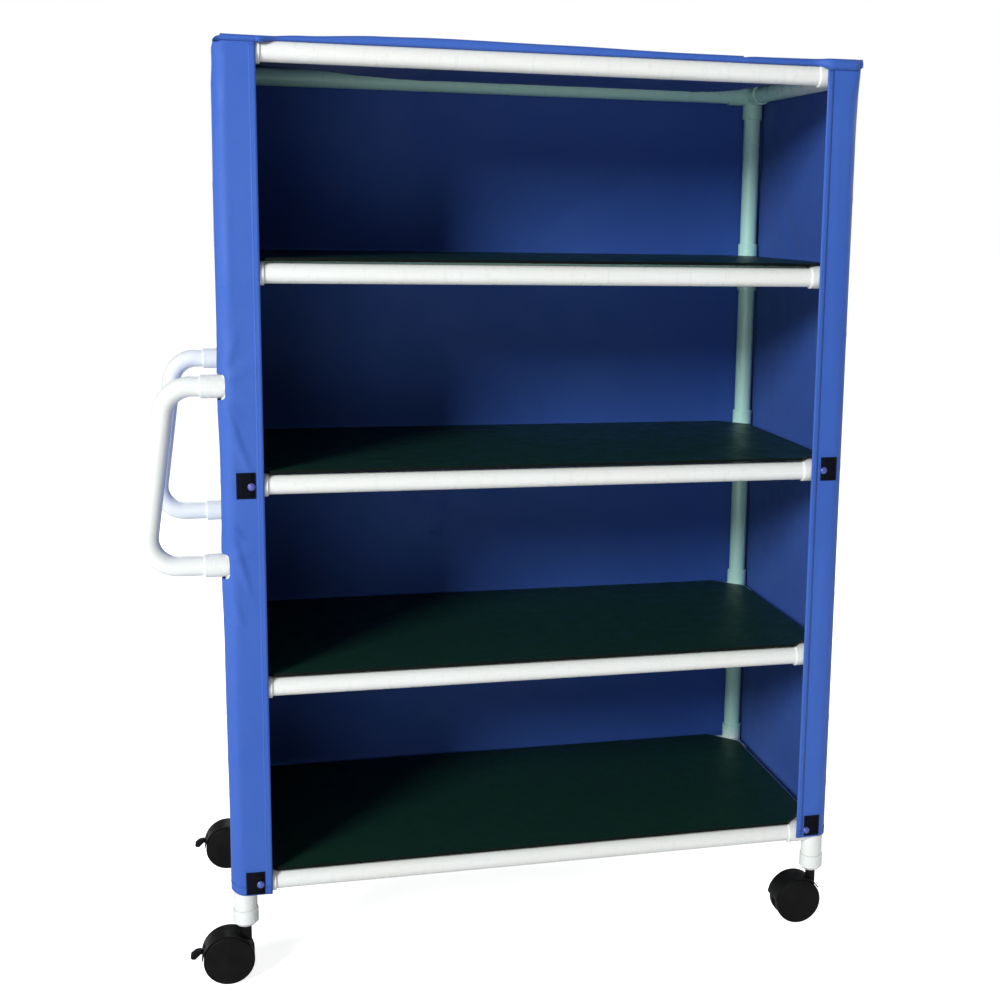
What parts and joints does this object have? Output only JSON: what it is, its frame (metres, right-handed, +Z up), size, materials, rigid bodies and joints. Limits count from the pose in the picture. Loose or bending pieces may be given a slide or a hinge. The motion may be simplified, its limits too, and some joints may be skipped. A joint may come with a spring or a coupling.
{
  "type": "linen trolley",
  "caption": "Tall linen trolley on swivel casters: plastic tube frame with flat shelves, looped push handles at one end, and a fabric cover with its front curtain thrown back.",
  "frame": {"origin": "on the floor, at the centre of the whole trolley's plan box, push handles included", "axes": "+X to the right seen from the open front, +Y from the front to the back, +Z up"},
  "size_m": [1.5366, 0.6504, 2.0043],
  "materials": {
    "tube_plastic": "white rigid plastic pipe, satin gloss",
    "fitting_plastic": "white moulded pipe fittings, gloss",
    "cap_plastic": "white moulded leg caps, gloss",
    "sleeve_plastic": "moulded stem inserts inside the legs",
    "shelf_board": "very dark green-black sheet, fine matt grain",
    "cover_fabric": "royal blue coated woven fabric, slight sheen",
    "patch_fabric": "black loop fastening tape",
    "snap_plastic": "domed blue plastic press stud",
    "caster_plastic": "black moulded nylon, fine texture",
    "wheel_tread": "black hard tread, satin",
    "lever_plastic": "black moulded brake tab",
    "axle_steel": "plated steel"
  },
  "bodies": {
    "frame": {"caster_stems": "axle_steel", "cover_back": "cover_fabric", "cover_left": "cover_fabric", "cover_right": "cover_fabric", "cover_strip_left": "cover_fabric", "cover_strip_right": "cover_fabric", "cover_top": "cover_fabric", "curtain_hanging_back": "cover_fabric", "curtain_over_top": "cover_fabric", "curtain_snap_caps": "snap_plastic", "handle_tees_front": "fitting_plastic", "handle_tees_rear": "fitting_plastic", "leg_caps": "cap_plastic", "leg_fittings_front_left": "fitting_plastic", "leg_fittings_front_right": "fitting_plastic", "leg_fittings_rear_left": "fitting_plastic", "leg_fittings_rear_right": "fitting_plastic", "leg_tubes_front_left": "tube_plastic", "leg_tubes_front_right": "tube_plastic", "leg_tubes_rear_left": "tube_plastic", "leg_tubes_rear_right": "tube_plastic", "push_handle_front": "tube_plastic", "push_handle_rear": "tube_plastic", "shelf_1_long_rails": "tube_plastic", "shelf_1_side_rails": "tube_plastic", "shelf_2_long_rails": "tube_plastic", "shelf_2_side_rails": "tube_plastic", "shelf_3_long_rails": "tube_plastic", "shelf_3_side_rails": "tube_plastic", "shelf_4_long_rails": "tube_plastic", "shelf_4_side_rails": "tube_plastic", "shelf_panel_1": "shelf_board", "shelf_panel_2": "shelf_board", "shelf_panel_3": "shelf_board", "shelf_panel_4": "shelf_board", "snap_studs": "snap_plastic", "stem_sleeves": "sleeve_plastic", "strip_patches": "patch_fabric", "top_long_rails": "tube_plastic", "top_side_rails": "tube_plastic"},
    "caster_front_left": {"caster_hood_front_left": "caster_plastic", "caster_axle_front_left": "axle_steel", "lever_pin_front_left": "axle_steel"},
    "wheel_front_left_a": {"wheel_front_left_a": "wheel_tread"},
    "wheel_front_left_b": {"wheel_front_left_b": "wheel_tread"},
    "brake_lever_front_left": {"brake_lever_front_left": "lever_plastic"},
    "caster_front_right": {"caster_hood_front_right": "caster_plastic", "caster_axle_front_right": "axle_steel"},
    "wheel_front_right_a": {"wheel_front_right_a": "wheel_tread"},
    "wheel_front_right_b": {"wheel_front_right_b": "wheel_tread"},
    "caster_rear_left": {"caster_hood_rear_left": "caster_plastic", "caster_axle_rear_left": "axle_steel", "lever_pin_rear_left": "axle_steel"},
    "wheel_rear_left_a": {"wheel_rear_left_a": "wheel_tread"},
    "wheel_rear_left_b": {"wheel_rear_left_b": "wheel_tread"},
    "brake_lever_rear_left": {"brake_lever_rear_left": "lever_plastic"},
    "caster_rear_right": {"caster_hood_rear_right": "caster_plastic", "caster_axle_rear_right": "axle_steel"},
    "wheel_rear_right_a": {"wheel_rear_right_a": "wheel_tread"},
    "wheel_rear_right_b": {"wheel_rear_right_b": "wheel_tread"}
  },
  "joints": [
    {"name": "swivel_front_left", "type": "hinge", "parent": "frame", "child": "caster_front_left", "pos_m": [-0.57174, -0.293, 0.1215], "axis": [0, 0, 1], "continuous": true},
    {"name": "roll_front_left_a", "type": "hinge", "parent": "caster_front_left", "child": "wheel_front_left_a", "pos_m": [-0.60874, -0.31275, 0.054], "axis": [0, 1, 0], "continuous": true},
    {"name": "roll_front_left_b", "type": "hinge", "parent": "caster_front_left", "child": "wheel_front_left_b", "pos_m": [-0.60874, -0.27325, 0.054], "axis": [0, 1, 0], "continuous": true},
    {"name": "brake_front_left", "type": "hinge", "parent": "caster_front_left", "child": "brake_lever_front_left", "pos_m": [-0.63774, -0.293, 0.068], "axis": [0, -1, 0], "range_deg": [0, 18]},
    {"name": "swivel_front_right", "type": "hinge", "parent": "frame", "child": "caster_front_right", "pos_m": [0.74026, -0.293, 0.1215], "axis": [0, 0, 1], "continuous": true},
    {"name": "roll_front_right_a", "type": "hinge", "parent": "caster_front_right", "child": "wheel_front_right_a", "pos_m": [0.70326, -0.31275, 0.054], "axis": [0, 1, 0], "continuous": true},
    {"name": "roll_front_right_b", "type": "hinge", "parent": "caster_front_right", "child": "wheel_front_right_b", "pos_m": [0.70326, -0.27325, 0.054], "axis": [0, 1, 0], "continuous": true},
    {"name": "swivel_rear_left", "type": "hinge", "parent": "frame", "child": "caster_rear_left", "pos_m": [-0.57174, 0.293, 0.1215], "axis": [0, 0, 1], "continuous": true},
    {"name": "roll_rear_left_a", "type": "hinge", "parent": "caster_rear_left", "child": "wheel_rear_left_a", "pos_m": [-0.60874, 0.27325, 0.054], "axis": [0, 1, 0], "continuous": true},
    {"name": "roll_rear_left_b", "type": "hinge", "parent": "caster_rear_left", "child": "wheel_rear_left_b", "pos_m": [-0.60874, 0.31275, 0.054], "axis": [0, 1, 0], "continuous": true},
    {"name": "brake_rear_left", "type": "hinge", "parent": "caster_rear_left", "child": "brake_lever_rear_left", "pos_m": [-0.63774, 0.293, 0.068], "axis": [0, -1, 0], "range_deg": [0, 18]},
    {"name": "swivel_rear_right", "type": "hinge", "parent": "frame", "child": "caster_rear_right", "pos_m": [0.74026, 0.293, 0.1215], "axis": [0, 0, 1], "continuous": true},
    {"name": "roll_rear_right_a", "type": "hinge", "parent": "caster_rear_right", "child": "wheel_rear_right_a", "pos_m": [0.70326, 0.27325, 0.054], "axis": [0, 1, 0], "continuous": true},
    {"name": "roll_rear_right_b", "type": "hinge", "parent": "caster_rear_right", "child": "wheel_rear_right_b", "pos_m": [0.70326, 0.31275, 0.054], "axis": [0, 1, 0], "continuous": true}
  ]
}
